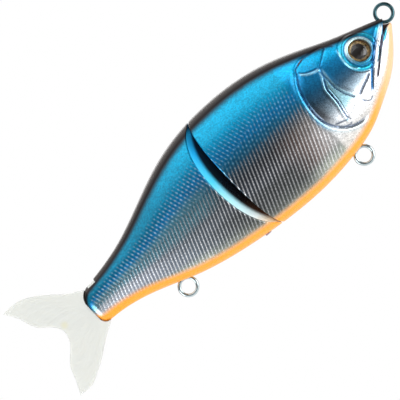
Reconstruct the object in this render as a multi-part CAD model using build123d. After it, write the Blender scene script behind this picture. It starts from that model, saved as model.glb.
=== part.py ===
from build123d import *
import math
import os

import numpy as np

# Two-section swimbait, 175 mm from the nose to the tips of its soft tail.
#
# Frame: millimetres, +X towards the nose, +Y to the fish's left, +Z up.
# The origin is the centre of the line tie eye.
# Each section is a hollow plastic shell in two halves, which meet on the plane Y = 0.
# A vertical hinge pin in the rear section runs through two wire eyes that are anchored in the front section.
# The soft tail is plugged into the rear section.

# ---- hull outline: (x, z) of the back and the belly, and (x, half-width) ----
BACK = [(-153, 1.9), (-144, 3.2), (-130, 6.0), (-115, 11.4), (-100, 17.0), (-86, 20.1), (-72, 20.8),
        (-58, 19.7), (-44, 16.4), (-32, 11.6), (-21, 6.6), (-10, 2.4), (-0.7, -1.3)]
BELLY = [(-153, -11.9), (-144, -12.7), (-130, -16.4), (-115, -22.3), (-100, -26.5), (-86, -29.1),
         (-72, -30.8), (-58, -31.3), (-44, -30.2), (-32, -27.6), (-21, -22.4), (-12, -17.0), (-5, -10.2),
         (-0.7, -4.9)]
HALF_WIDTH = [(-153, 2.9), (-144, 4.0), (-130, 6.3), (-115, 8.8), (-100, 11.0), (-86, 12.2), (-72, 12.7),
              (-58, 12.6), (-44, 11.7), (-32, 10.1), (-21, 7.9), (-10, 4.9), (-0.7, 1.2)]
WIDEST_SHARE = 0.53          # height of the widest line, from belly (0) to back (1)
FLANK_UP, FLANK_DOWN = 2.3, 2.2   # 2 gives elliptic flanks, more gives flatter ones
WALL = 1.8
NOSE_X = -0.7
FRONT_REAR_X, REAR_FRONT_X = -90.0, -76.0   # uncut ends of the two sections, which the joint then trims
HULL_END_X = -152.6
END_BACK_R, END_BELLY_R = 4.3, 2.7   # rounding of the rear end, seen from the side
END_SIDE_SHARE = 0.6         # how much of the belly's rounding also narrows the rear end
END_DEPTH = 0.985            # the rounding stops just short of a full quarter turn
STATION_STEP = 6.0           # between the cross-sections of the hull
SNOUT_STATIONS = (-12, -6, -3)
REAR_END_STATIONS = (-150.9, -149.4, -147.6)

TALL = 120.0                 # taller and deeper than the whole lure, for shapes that cut right through it
WIDE = 20.0                  # wider than half the hull
FAR_REAR_X, FAR_FRONT_X = -200.0, 10.0   # behind the tail and ahead of the nose

# ---- joint between the two sections ----
HINGE_X = -86.2
SWING = 27.0                 # degrees each way
KNUCKLE_R = 6.2              # rounded front of the rear section, about the hinge
KNUCKLE_GAP = 0.4            # to the V-shaped recess in the front section
FLANK_ANGLE = 44.0           # of the knuckle's flanks, from the centre plane
PIN_R, PIN_TOP_Z, PIN_FOOT_Z = 0.9, 14.5, -27.6
PLUG_R, PLUG_PROUD, PLUG_EDGE = 1.3, 0.4, 0.3
JOINT_EYE_Z = {"upper_joint_eye": 9.0, "lower_joint_eye": -17.0}
JOINT_EYE_REACH = 17.5       # hinge axis to the anchor loop's centre
SLOT_HALF_HEIGHT = 0.95
SLOT_FIT = 0.25              # clearance round the ring of a joint eye in its slot
SLOT_REACH = 9.0             # hinge axis to the slot's open mouth
SWING_SPARE = 5.0            # degrees that a slot opens beyond the swing
RECESS_WALL = 2.2            # plastic between the recess and the hollow inside

# ---- wire eyes ----
WIRE_R = 0.7
SHANK_R = 0.665
EYE_RING_R = 3.3             # centre of the wire, line tie and hook eyes
EYE_HOLE_R = 2.7             # after sizing over a mandrel, which leaves a narrow flat inside
JOINT_RING_R = 1.6
JOINT_HOLE_R = PIN_R + 0.1
ANCHOR_R = 2.0               # small loop that anchors each eye on a moulded peg
PEG_R = 1.15
WIRE_FIT = 0.08              # clearance round a wire in its channel
BELLY_EYE = (-41.1, -32.7)
REAR_EYE = (-121.0, -23.0)
HOOK_EYE_REACH = 11.5
LINE_TIE_REACH, LINE_TIE_FALL = 14.0, 28.0   # length, and degrees below the horizontal

# ---- mouth, in the side view: lip of the snout, corner of the mouth, lower jaw ----
MOUTH = [(1, 4), (-2.75, 4), (-2.75, -1.3), (-6.6, -5.3), (-3.9, -4.35), (1, -4.2)]

# ---- solid places inside the shells: (rear x, front x, bottom z, top z) ----
DEEP = -40                   # below every belly
FRONT_BOSSES = [(-45.5, -36.8, DEEP, -16.5),   # belly hook eye
                (-80, -65.2, 4.5, 13.5),       # upper joint eye
                (-80, -65.2, -21.5, -12.5),    # lower joint eye
                (-77.5, -47.5, DEEP, -19.8)]   # ballast
REAR_BOSSES = [(-125.6, -116.4, DEEP, -7.0),   # rear hook eye
               (-108, -92, DEEP, -16.9)]       # ballast
FRONT_CAVITY = (-84, -23)
REAR_CAVITY = (-138, -92.5)

# ---- eyes ----
PUPIL_X, PUPIL_Z = -16.7, -3.7
IRIS_R = 4.0
SOCKET_DEPTH = 1.7
DISC_T = 0.4
LENS_EDGE, LENS_RISE = 0.4, 1.6
EYE_FIT = 0.05

# ---- ballast ----
FRONT_BALLS = [(-72.0, -24.3), (-62.5, -24.9), (-53.0, -24.5)]
REAR_BALLS = [(-104.0, -20.6), (-96.0, -22.2)]
FRONT_BALL_R, REAR_BALL_R = 4.0, 3.2
BALL_FIT = 0.05

# ---- soft tail ----
TONGUE_HALF = 1.2            # half the thickness of the tongue inside the rear section
TONGUE_X = -140.5            # front end of the tongue's slot
TONGUE_Z = (-9.6, 0.2)       # bottom and top of the tongue's slot
TONGUE_FIT = 0.05
SIDE_FIT = 0.02
TONGUE_OVERLAP = 0.9         # how far the tongue runs on into the fin
NUB_FOOT_Z = -1.0
NUB = (-148.0, -144.4, 2.7)  # rear end, front end and top of the nub that snaps into the notch
NUB_HEAD_Z = 1.8             # above this the nub is as wide as the hull
FLEX_X = -156.6              # where the fin bends
FLEX_R, FLEX_GAP = 1.5, 0.3
FIN_UPPER = [(-150.6, 3.4), (-155.0, 5.8), (-160.0, 10.1), (-165.0, 13.9), (-170.5, 16.3), (-177.2, 16.6)]
FIN_BACK = [(-177.2, 16.6), (-174.4, 11.6), (-171.9, 4.8), (-167.3, 0.3), (-165.4, -3.8), (-167.0, -8.4),
            (-172.3, -13.9), (-174.7, -19.5), (-177.2, -24.6)]
FIN_LOWER = [(-177.2, -24.6), (-171.5, -24.8), (-165.5, -22.1), (-160.0, -18.7), (-155.0, -15.3),
             (-150.4, -12.7)]
FIN_FRONT = [(-149.0, -9.0), (-149.0, -0.5)]   # front corners, hidden inside the hull
FIN_HALF = [(-148, 2.2), (-178, 0.55)]   # (x, half the thickness) at the root and at the trailing edge


def smooth(table):
    """A natural cubic spline through the (x, value) points of a table, as a function of x."""
    xs = np.array([p[0] for p in table], float)
    ys = np.array([p[1] for p in table], float)
    step = np.diff(xs)
    n = len(xs)
    rows, right = np.eye(n), np.zeros(n)
    for i in range(1, n - 1):
        rows[i, i - 1:i + 2] = step[i - 1], 2 * (step[i - 1] + step[i]), step[i]
        right[i] = 6 * ((ys[i + 1] - ys[i]) / step[i] - (ys[i] - ys[i - 1]) / step[i - 1])
    bend = np.linalg.solve(rows, right)

    def value(x):
        i = int(np.clip(np.searchsorted(xs, x) - 1, 0, n - 2))
        a, b = (xs[i + 1] - x) / step[i], (x - xs[i]) / step[i]
        curve = ((a**3 - a) * bend[i] + (b**3 - b) * bend[i + 1]) * step[i] ** 2 / 6
        return float(a * ys[i] + b * ys[i + 1] + curve)

    return value


back, belly, half_width = smooth(BACK), smooth(BELLY), smooth(HALF_WIDTH)


def end_round(x, radius):
    """How far a corner of this radius at the rear end pulls the outline in at x."""
    over = min(max(HULL_END_X + radius - x, 0.0), END_DEPTH * radius)
    return radius - math.sqrt(radius**2 - over**2)


def section(x, inset=0.0):
    """(top z, bottom z, half-width, widest z) of the hull at x, or of a skin inset from it."""
    top = back(x) - end_round(x, END_BACK_R) - inset
    bottom = belly(x) + end_round(x, END_BELLY_R) + inset
    wide = half_width(x) - END_SIDE_SHARE * end_round(x, END_BELLY_R) - inset
    return top, bottom, wide, bottom + WIDEST_SHARE * (top - bottom)


def side_y(x, z):
    """Half-width of the hull's outside at the point (x, z) of the side view."""
    top, bottom, wide, mid = section(x)
    if z > mid:
        share, power = (z - mid) / (top - mid), FLANK_UP
    else:
        share, power = (mid - z) / (mid - bottom), FLANK_DOWN
    return wide * math.sqrt(max(0.0, 1 - share**power))


def section_face(x, inset=0.0, points=28):
    """The hull's closed cross-section at x."""
    top, bottom, wide, mid = section(x, inset)
    outline = []
    for i in range(points):
        turn = 2 * math.pi * i / points
        rise = math.cos(turn)
        height, power = (top - mid, FLANK_UP) if rise >= 0 else (mid - bottom, FLANK_DOWN)
        y = wide * math.sqrt(max(0.0, 1 - abs(rise) ** power)) * (1 if turn < math.pi else -1)
        outline.append((x, y, mid + rise * height))
    return Face(Wire(Spline(*outline, periodic=True)))


def hull(x_start, x_end, inset=0.0, ends=()):
    """A solid lofted through cross-sections from x_start forward to x_end."""
    count = max(3, round((x_end - x_start) / STATION_STEP))
    stations = [x_start + (x_end - x_start) * i / count for i in range(count + 1)]
    stations = sorted(set(stations) | set(ends))
    return loft([section_face(x, inset) for x in stations])


def prism_z(*points):
    """A tall prism on a plan-view outline."""
    return extrude(make_face(Polyline(*points, close=True)), TALL / 2, both=True)


def prism_y(*points):
    """A prism across the hull on a side-view outline of (x, z) points."""
    outline = Plane.XZ * make_face(Polyline(*points, close=True))
    return extrude(outline, WIDE, both=True)


def disc_y(x, z, radius, half):
    """A disc whose axis runs across the hull, centred on the middle plane."""
    return Pos(x, 0, z) * Rot(90, 0, 0) * Cylinder(radius, 2 * half)


def bottom_up(radius, height):
    """An upright cylinder that stands on its origin."""
    return Cylinder(radius, height, align=(Align.CENTER, Align.CENTER, Align.MIN))


def rod(start, end, radius):
    """A round rod between two points."""
    line = Vector(*end) - Vector(*start)
    return Plane(origin=start, z_dir=line) * bottom_up(radius, line.length)


def box(x0, x1, half_y, z0, z1):
    """A block between x0 and x1 and z0 and z1, centred on the middle plane."""
    return Pos((x0 + x1) / 2, 0, (z0 + z1) / 2) * Box(x1 - x0, 2 * half_y, z1 - z0)


def blocks(places):
    """Several blocks as wide as the hull, as (rear x, front x, bottom z, top z)."""
    return Part() + [box(x0, x1, WIDE, z0, z1) for x0, x1, z0, z1 in places]


# ---- wire eyes ----
def wire_eye(x, z, heading, reach, ring_r=EYE_RING_R, hole_r=EYE_HOLE_R, flat=False):
    """An eye bent from wire: a ring at (x, z), a shank and an anchor loop.

    The shank runs along heading, in degrees in the side view. A flat ring lies level, for the hinge pin.
    """
    way = Vector(math.cos(math.radians(heading)), 0, math.sin(math.radians(heading)))
    centre = Vector(x, 0, z)
    loop = centre + way * reach
    turn = Rot(0, 0, 0) if flat else Rot(90, 0, 0)
    ring = Pos(*centre) * turn * Torus(ring_r, WIRE_R)
    shank = rod(centre + way * ring_r, loop - way * ANCHOR_R, SHANK_R)
    anchor = Pos(*loop) * Rot(90, 0, 0) * Torus(ANCHOR_R, WIRE_R)
    return ring + shank + anchor - Pos(*centre) * turn * Cylinder(hole_r, 4 * WIRE_R)


def wire_pocket(x, z, heading, reach, start):
    """The channel and the pocket, with its peg, that hold the shank and the anchor loop of a wire eye."""
    way = Vector(math.cos(math.radians(heading)), 0, math.sin(math.radians(heading)))
    loop = Vector(x, 0, z) + way * reach
    channel = rod(Vector(x, 0, z) + way * start, loop, WIRE_R + WIRE_FIT)
    pocket = disc_y(loop.X, loop.Z, ANCHOR_R + WIRE_R + WIRE_FIT, WIRE_R + WIRE_FIT)
    peg = disc_y(loop.X, loop.Z, PEG_R, WIRE_R + 2 * WIRE_FIT)
    return channel + pocket - peg


LINE_TIE = dict(x=0.0, z=0.0, heading=180 + LINE_TIE_FALL, reach=LINE_TIE_REACH)
BELLY_HANGER = dict(x=BELLY_EYE[0], z=BELLY_EYE[1], heading=90, reach=HOOK_EYE_REACH)
REAR_HANGER = dict(x=REAR_EYE[0], z=REAR_EYE[1], heading=90, reach=HOOK_EYE_REACH)


def joint_hanger(z):
    """The placing of the joint eye at height z."""
    return dict(x=HINGE_X, z=z, heading=0, reach=JOINT_EYE_REACH)


# ---- plan-view outlines of the joint ----
def knuckle_prism():
    """The rear section's plan: a round knuckle about the hinge, and flanks tangent to it."""
    across = math.radians(90 - FLANK_ANGLE)
    touch = (HINGE_X + KNUCKLE_R * math.cos(across), KNUCKLE_R * math.sin(across))
    far = (touch[0] - (WIDE - touch[1]) / math.tan(math.radians(FLANK_ANGLE)), WIDE)
    left = [touch, far, (FAR_REAR_X, WIDE)]
    right = [(x, -y) for x, y in reversed(left)]
    flanks = prism_z(*left, *right)
    return flanks + Pos(HINGE_X, 0, 0) * Cylinder(KNUCKLE_R, TALL)


def recess_prism(shift=0.0):
    """Everything in front of the V-shaped recess that receives the swung knuckle."""
    slope = math.radians(FLANK_ANGLE + SWING)
    apex = HINGE_X + (KNUCKLE_R + KNUCKLE_GAP) / math.sin(slope) + shift
    rim = apex - WIDE / math.tan(slope)
    return prism_z((apex, 0), (rim, WIDE), (FAR_FRONT_X, WIDE), (FAR_FRONT_X, -WIDE), (rim, -WIDE))


# ---- front section ----
def eye_plane(side):
    """The plane of the eye on one side (-1 right, 1 left), on the hull's skin, facing out."""
    step = 0.5
    slope_x = (side_y(PUPIL_X + step, PUPIL_Z) - side_y(PUPIL_X - step, PUPIL_Z)) / (2 * step)
    slope_z = (side_y(PUPIL_X, PUPIL_Z + step) - side_y(PUPIL_X, PUPIL_Z - step)) / (2 * step)
    out = Vector(-slope_x, side, -slope_z)
    return Plane(origin=(PUPIL_X, side * side_y(PUPIL_X, PUPIL_Z), PUPIL_Z), x_dir=(0, 0, 1), z_dir=out)


def on_eye(side, depth, shape):
    """A shape placed on the eye's plane, depth below the skin."""
    return eye_plane(side) * (Pos(0, 0, -depth) * shape)


def front_shell():
    """Both halves of the front section as one hollow body."""
    skin = hull(FRONT_REAR_X, NOSE_X, ends=SNOUT_STATIONS) & recess_prism()
    cavity = hull(*FRONT_CAVITY, WALL) & recess_prism(RECESS_WALL)
    body = skin - (cavity - blocks(FRONT_BOSSES))
    body -= prism_y(*MOUTH)
    body -= disc_y(0, 0, EYE_RING_R + WIRE_R + WIRE_FIT, WIRE_R + WIRE_FIT)
    body -= wire_pocket(**LINE_TIE, start=EYE_RING_R)
    body -= wire_pocket(**BELLY_HANGER, start=0)
    body -= disc_y(*BELLY_EYE, EYE_RING_R + WIRE_R + WIRE_FIT, WIRE_R + WIRE_FIT)
    for z in JOINT_EYE_Z.values():
        body -= wire_pocket(**joint_hanger(z), start=0)
    for x, z in FRONT_BALLS:
        body -= Pos(x, 0, z) * Sphere(FRONT_BALL_R + BALL_FIT)
    for side in (-1, 1):
        body -= on_eye(side, SOCKET_DEPTH, bottom_up(IRIS_R + EYE_FIT, 3 * SOCKET_DEPTH))
    return body


def eye_disc(side):
    """The printed disc at the bottom of the eye's socket."""
    return on_eye(side, SOCKET_DEPTH, bottom_up(IRIS_R, DISC_T))


def eye_lens(side):
    """A clear dome on a thin round edge, which sits on the iris disc."""
    dome_r = (IRIS_R**2 + LENS_RISE**2) / (2 * LENS_RISE)
    dome = Pos(0, 0, LENS_EDGE + LENS_RISE - dome_r) * Sphere(dome_r)
    blank = bottom_up(IRIS_R, LENS_EDGE + LENS_RISE)
    return on_eye(side, SOCKET_DEPTH - DISC_T, dome & blank)


# ---- rear section ----
def nub(top, fit=0.0):
    """The block that locks the soft tail into the back: a narrow foot under a head as wide as the hull."""
    rear, front = NUB[0] + fit, NUB[1] - fit
    foot = box(rear, front, TONGUE_HALF - fit, NUB_FOOT_Z, top)
    return foot + box(rear, front, WIDE, NUB_HEAD_Z + fit, top)


def rear_hull():
    """The rear section's outside before the knuckle is cut."""
    return hull(HULL_END_X, REAR_FRONT_X, ends=REAR_END_STATIONS)


def joint_eye_slot():
    """A level slot round the hinge for one joint eye, which fans out to let the eye's shank swing."""
    sweep = math.radians(SWING + SWING_SPARE)
    mouth = (SLOT_REACH * math.cos(sweep), SLOT_REACH * math.sin(sweep) + WIRE_R)
    corners = [(0, JOINT_RING_R), mouth, (mouth[0], -mouth[1]), (0, -JOINT_RING_R)]
    fan = make_face(Polyline(*corners, close=True))
    ring_room = Cylinder(JOINT_RING_R + WIRE_R + SLOT_FIT, 2 * SLOT_HALF_HEIGHT)
    return ring_room + extrude(fan, SLOT_HALF_HEIGHT, both=True)


def rear_shell():
    """Both halves of the rear section as one hollow body."""
    skin = rear_hull() & knuckle_prism()
    cavity = hull(*REAR_CAVITY, WALL)
    body = skin - (cavity - blocks(REAR_BOSSES))
    body -= wire_pocket(**REAR_HANGER, start=0)
    body -= disc_y(*REAR_EYE, EYE_RING_R + WIRE_R + WIRE_FIT, WIRE_R + WIRE_FIT)
    for x, z in REAR_BALLS:
        body -= Pos(x, 0, z) * Sphere(REAR_BALL_R + BALL_FIT)
    body -= rod((HINGE_X, 0, PIN_FOOT_Z), (HINGE_X, 0, PIN_TOP_Z), PIN_R)
    body -= rod((HINGE_X, 0, DEEP), (HINGE_X, 0, PIN_FOOT_Z), PLUG_R)
    for z in JOINT_EYE_Z.values():
        body -= Pos(HINGE_X, 0, z) * joint_eye_slot()
    body -= box(FAR_REAR_X, TONGUE_X, TONGUE_HALF, *TONGUE_Z)
    return body - nub(TALL)


def hinge_pin():
    return rod((HINGE_X, 0, PIN_FOOT_Z), (HINGE_X, 0, PIN_TOP_Z), PIN_R)


def hinge_pin_plug():
    """The domed plug under the hinge pin, a little proud of the belly."""
    foot = belly(HINGE_X) - PLUG_PROUD
    plug = rod((HINGE_X, 0, foot), (HINGE_X, 0, PIN_FOOT_Z), PLUG_R)
    return fillet(plug.edges().sort_by(Axis.Z)[0], PLUG_EDGE)


# ---- soft tail ----
def fin_outline():
    """The forked tail's outline in the side view, which reaches forward into the hull's end."""
    front = Polyline(FIN_LOWER[-1], *FIN_FRONT, FIN_UPPER[0])
    curves = [Spline(*points) for points in (FIN_UPPER, FIN_BACK, FIN_LOWER)]
    edges = [*curves, *front.edges()]
    return Plane.XZ * make_face(Wire.combine(edges)[0].edges())


def fin_taper():
    """The fin's plan: thick at its root and thin at its trailing edge."""
    (root_x, root), (edge_x, edge) = FIN_HALF
    return prism_z((root_x, root), (edge_x, edge), (edge_x, -edge), (root_x, -root))


def soft_tail():
    """The whole silicone tail outside and inside the hull, before it is divided at the flex line."""
    fin = extrude(fin_outline(), WIDE, both=True) & fin_taper()
    fin -= rear_hull()
    half = TONGUE_HALF - SIDE_FIT
    bottom, top = TONGUE_Z
    tongue = box(HULL_END_X - TONGUE_OVERLAP, TONGUE_X, half, bottom + TONGUE_FIT, top - TONGUE_FIT)
    return fin + tongue + (nub(NUB[2], SIDE_FIT) & rear_hull())


def behind_flex(radius):
    """Everything behind the flex line, with a round front of this radius."""
    rear = box(FAR_REAR_X, FLEX_X, WIDE, -TALL / 2, TALL / 2)
    return rear + Pos(FLEX_X, 0, 0) * Cylinder(radius, TALL)


def tail_root(tail):
    """The part of the tail that stays with the hull, up to a round socket at the flex line."""
    return tail - behind_flex(FLEX_R + FLEX_GAP)


def tail_fin(tail):
    """The part of the tail that swings, with a round front at the flex line."""
    return tail & behind_flex(FLEX_R)


# ---- write one STEP per piece ----
def largest(shape):
    """The biggest solid of a boolean's result, which drops loose slivers."""
    return max(shape.solids(), key=lambda s: s.volume)


def halves(name, body):
    """The left half of a body that is split on the middle plane, and its mirror image on the right."""
    left = largest(body & Pos(0, WIDE, 0) * Box(3 * TALL, 2 * WIDE, TALL))
    yield f"{name}_left", left
    yield f"{name}_right", mirror(left, about=Plane.XZ)


def pieces():
    """Yields (node name, shape) for every physical piece."""
    yield from halves("front_shell", front_shell())
    yield from halves("rear_shell", rear_shell())
    for name, side in (("right", -1), ("left", 1)):
        yield f"iris_disc_{name}", eye_disc(side)
        yield f"eye_lens_{name}", eye_lens(side)
    yield "line_tie_eye", wire_eye(**LINE_TIE)
    yield "belly_hook_eye", wire_eye(**BELLY_HANGER)
    yield "rear_hook_eye", wire_eye(**REAR_HANGER)
    for name, z in JOINT_EYE_Z.items():
        yield name, wire_eye(**joint_hanger(z), ring_r=JOINT_RING_R, hole_r=JOINT_HOLE_R, flat=True)
    yield "hinge_pin", hinge_pin()
    yield "hinge_pin_plug", hinge_pin_plug()
    for i, (x, z) in enumerate(FRONT_BALLS, 1):
        yield f"front_ballast_ball_{i}", Pos(x, 0, z) * Sphere(FRONT_BALL_R)
    for i, (x, z) in enumerate(REAR_BALLS, 1):
        yield f"rear_ballast_ball_{i}", Pos(x, 0, z) * Sphere(REAR_BALL_R)
    tail = soft_tail()
    yield "tail_root", largest(tail_root(tail))
    yield "tail_fin", largest(tail_fin(tail))


os.makedirs("parts", exist_ok=True)
for node, shape in pieces():
    export_step(shape, f"parts/{node}.step")
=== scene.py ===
"""Looks of the two-section swimbait: painted foil halves, domed eyes, wire eyes and a soft tail.

The hull's tables and formulas are the design's own, in millimetres, and MM turns them into metres.
+X is towards the nose, +Y the fish's left, +Z up, and the origin is the centre of the line tie eye.
"""

import math

import bmesh
import bpy
import numpy as np
from mathutils import Matrix, Quaternion, Vector


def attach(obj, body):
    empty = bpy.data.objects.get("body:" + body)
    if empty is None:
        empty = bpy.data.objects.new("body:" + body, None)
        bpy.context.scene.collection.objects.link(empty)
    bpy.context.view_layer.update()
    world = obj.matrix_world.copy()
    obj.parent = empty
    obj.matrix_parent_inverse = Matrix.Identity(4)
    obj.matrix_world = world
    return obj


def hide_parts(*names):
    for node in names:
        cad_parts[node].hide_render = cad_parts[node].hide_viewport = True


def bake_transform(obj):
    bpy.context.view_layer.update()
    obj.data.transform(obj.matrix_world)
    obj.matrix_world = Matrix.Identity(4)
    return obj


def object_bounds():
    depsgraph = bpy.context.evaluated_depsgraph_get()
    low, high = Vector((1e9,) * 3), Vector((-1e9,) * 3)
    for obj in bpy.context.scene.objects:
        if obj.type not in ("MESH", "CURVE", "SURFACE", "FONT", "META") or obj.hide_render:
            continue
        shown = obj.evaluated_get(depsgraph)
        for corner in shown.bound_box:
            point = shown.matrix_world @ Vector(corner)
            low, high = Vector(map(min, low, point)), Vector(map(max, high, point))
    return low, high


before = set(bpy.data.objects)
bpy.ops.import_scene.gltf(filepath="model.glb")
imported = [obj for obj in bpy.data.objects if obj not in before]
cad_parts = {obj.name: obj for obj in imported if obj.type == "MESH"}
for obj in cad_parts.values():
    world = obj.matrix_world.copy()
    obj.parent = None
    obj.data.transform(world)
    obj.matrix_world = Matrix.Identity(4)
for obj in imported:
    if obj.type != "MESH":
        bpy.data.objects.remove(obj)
cad_low, cad_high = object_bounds()
MM = 0.001

# ---- hull ----
BACK = [(-153, 1.9), (-144, 3.2), (-130, 6.0), (-115, 11.4), (-100, 17.0), (-86, 20.1), (-72, 20.8),
        (-58, 19.7), (-44, 16.4), (-32, 11.6), (-21, 6.6), (-10, 2.4), (-0.7, -1.3)]
BELLY = [(-153, -11.9), (-144, -12.7), (-130, -16.4), (-115, -22.3), (-100, -26.5), (-86, -29.1),
         (-72, -30.8), (-58, -31.3), (-44, -30.2), (-32, -27.6), (-21, -22.4), (-12, -17.0), (-5, -10.2),
         (-0.7, -4.9)]
HALF_WIDTH = [(-153, 2.9), (-144, 4.0), (-130, 6.3), (-115, 8.8), (-100, 11.0), (-86, 12.2), (-72, 12.7),
              (-58, 12.6), (-44, 11.7), (-32, 10.1), (-21, 7.9), (-10, 4.9), (-0.7, 1.2)]
WIDEST_SHARE = 0.53
FLANK_UP, FLANK_DOWN = 2.3, 2.2
NOSE_X, NOSE_ROUND = -0.7, 1.3
HULL_END_X = -152.6
BACK_BAND, BACK_BAND_GROWTH = 1.5, 0.048    # width of the black back, and its share of the depth
END_BACK_R, END_BELLY_R, END_SIDE_SHARE, END_DEPTH = 4.3, 2.7, 0.6, 0.985

# ---- joint ----
HINGE_X, SWING = -86.2, 27.0
KNUCKLE_R, KNUCKLE_GAP, FLANK_ANGLE = 6.2, 0.4, 44.0
JOINT_EYE_ZS = (9.0, -17.0)
SLOT_R, SLOT_HALF, SLOT_REACH, SLOT_SPARE = 2.55, 0.95, 9.0, 5.0
RIM_ROUND = 0.55             # rounding of the edges where the two sections meet
RIM_STEPS = [0, 0.03, 0.09, 0.18, 0.3, 0.44]    # rows of points across that rounding
SKIN_START, FACE_ROWS, CAP_ROWS = 0.6, 44, 5
FRONT_TURNS, FRONT_ROWS = 232, 372
REAR_TURNS, REAR_ROWS = 214, 300

# ---- eye and mouth ----
PUPIL_X, PUPIL_Z, IRIS_R, PUPIL_R = -16.7, -3.7, 4.0, 3.0
SOCKET_DEPTH, ORBIT_R = 1.7, 9.5
SOCKET_FOOT_R, SOCKET_MOUTH_R = IRIS_R + 0.06, IRIS_R + 0.24
FAR_FROM_EYE = 50            # stands for any distance outside the orbit
SHADE_PLACE, SHADE_SIZE = (-43.2, -12.2), (2.5, 4.4)    # dark hollow at the back of the gill cover
MOUTH = [(1, 4), (-1.95, 4), (-1.95, -0.95), (-2.8, -2.1), (-4.3, -3.4), (-6.6, -5.5), (-4.6, -4.75),
         (-3.1, -4.4), (-1.6, -4.3), (1, -4.7)]
MOUTH_WEB = 0.3              # half the thickness of the wall left inside the mouth
RING_ROOM_R, RING_ROOM_HALF = 4.15, 0.85
CUTTER_REACH = 20            # how far the cutting blocks reach out of the side

# ---- hatched foil ----
HATCH_PITCH = (1.43, 1.48)   # behind and in front of the joint
HATCH_BASE_Z = -3.5          # the lines are dotted above this height and solid below it
HATCH_SLOPES = (-0.31, 0.40) # lean of the lines above and below the herringbone's spine
HATCH_SPINE = [(-153, -5), (-125, -4.3), (-104, -3.3), (-90, -1.5), (-74, 1.5), (-58, 6), (-44, 9)]
HATCH_HEIGHT, DASH_PITCH, DOT_PITCH = 0.07, 1.0, 1.7
LINE_SHARE, DOT_STAGGER = 0.115, 1.6
GILL_X = -46.0

# ---- tail ----
FIN_UPPER = [(-149.6, 2.2), (-151.0, 3.6), (-155.0, 5.8), (-160.0, 10.1), (-165.0, 13.9), (-170.5, 16.3),
             (-177.2, 16.6)]
FIN_BACK = [(-177.2, 16.6), (-174.4, 11.6), (-171.9, 4.8), (-167.3, 0.3), (-165.4, -3.8), (-167.0, -8.4),
            (-172.3, -13.9), (-174.7, -19.5), (-177.2, -24.6)]
FIN_LOWER = [(-177.2, -24.6), (-171.5, -24.8), (-165.5, -22.1), (-160.0, -18.7), (-155.0, -15.3),
             (-150.7, -12.9), (-149.6, -12.0)]
GATE_MARK = (-163.5, -2.0)   # faint yellow spot in the silicone
FIN_HALF = [(-148, 2.2), (-178, 0.55)]
NUB = (-148.0, -144.4, 2.7)  # rear x, front x and top of the nub that fills the notch in the hull's back
NUB_HEAD_Z, NUB_FIT, NOTCH_TOP = 1.8, 0.03, 12
NUB_SLICES, NUB_LEVELS = 9, 14
BLOCK_SPARE = 0.03
FIN_STEPS, FIN_RAYS = 111, 301
RAY_HEIGHT, FIN_SHARP_ANGLE = 0.04, 72
FIN_WELD, SHELL_WELD = 1.5e-5, 2e-6     # in metres


# ---------------------------------------------------------------- hull functions
def smooth(table):
    """A natural cubic spline through the (x, value) points of a table, as a function of an array of x."""
    xs, ys = np.array(table, float).T
    step = np.diff(xs)
    n = len(xs)
    rows, right = np.eye(n), np.zeros(n)
    for i in range(1, n - 1):
        rows[i, i - 1:i + 2] = step[i - 1], 2 * (step[i - 1] + step[i]), step[i]
        right[i] = 6 * ((ys[i + 1] - ys[i]) / step[i] - (ys[i] - ys[i - 1]) / step[i - 1])
    bend = np.linalg.solve(rows, right)

    def value(x):
        i = np.clip(np.searchsorted(xs, x) - 1, 0, n - 2)
        a, b = (xs[i + 1] - x) / step[i], (x - xs[i]) / step[i]
        curve = ((a**3 - a) * bend[i] + (b**3 - b) * bend[i + 1]) * step[i] ** 2 / 6
        return a * ys[i] + b * ys[i + 1] + curve

    return value


back, belly, half_width = smooth(BACK), smooth(BELLY), smooth(HALF_WIDTH)


def ease(value, low, high):
    """0 below low, 1 above high and smooth between; low may be the larger."""
    t = np.clip((value - low) / (high - low), 0, 1)
    return t * t * (3 - 2 * t)


def end_round(x, radius):
    """How far the rounded rear end pulls the outline in at x."""
    over = np.clip(HULL_END_X + radius - x, 0, END_DEPTH * radius)
    return radius - np.sqrt(radius**2 - over**2)


def section(x):
    """(top, bottom, half-width, widest z) of the hull at x."""
    top = back(x) - end_round(x, END_BACK_R)
    bottom = belly(x) + end_round(x, END_BELLY_R)
    nose = np.clip((x - NOSE_X + NOSE_ROUND) / NOSE_ROUND, 0, 1)
    wide = (half_width(x) - END_SIDE_SHARE * end_round(x, END_BELLY_R)) * np.sqrt(1 - nose**2)
    return top, bottom, wide, bottom + WIDEST_SHARE * (top - bottom)


def skin_yz(x, turn):
    """Half-width and height of the skin at x, turn radians round from the back."""
    top, bottom, wide, mid = section(x)
    rise = np.cos(turn)
    up = rise >= 0
    z = mid + rise * np.where(up, top - mid, mid - bottom)
    y = wide * np.sqrt(np.clip(1 - np.abs(rise) ** np.where(up, FLANK_UP, FLANK_DOWN), 0, 1))
    return y, z


def side_y(x, z):
    """Half-width of the hull at the point (x, z) of the side view."""
    top, bottom, wide, mid = section(x)
    up = z > mid
    share = np.where(up, (z - mid) / (top - mid), (mid - z) / (mid - bottom))
    return wide * np.sqrt(np.clip(1 - share ** np.where(up, FLANK_UP, FLANK_DOWN), 0, 1))


def even_turns(count):
    """Angles round the section that space the points evenly along the middle of the hull."""
    turn = np.linspace(0, math.pi, 2000)
    y, z = skin_yz(np.full_like(turn, -70.0), turn)
    run = np.concatenate([[0], np.cumsum(np.hypot(np.diff(y), np.diff(z)))])
    turns = np.interp(np.linspace(0, run[-1], count), run, turn)
    turns[0], turns[-1] = 0, math.pi
    return turns


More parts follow.
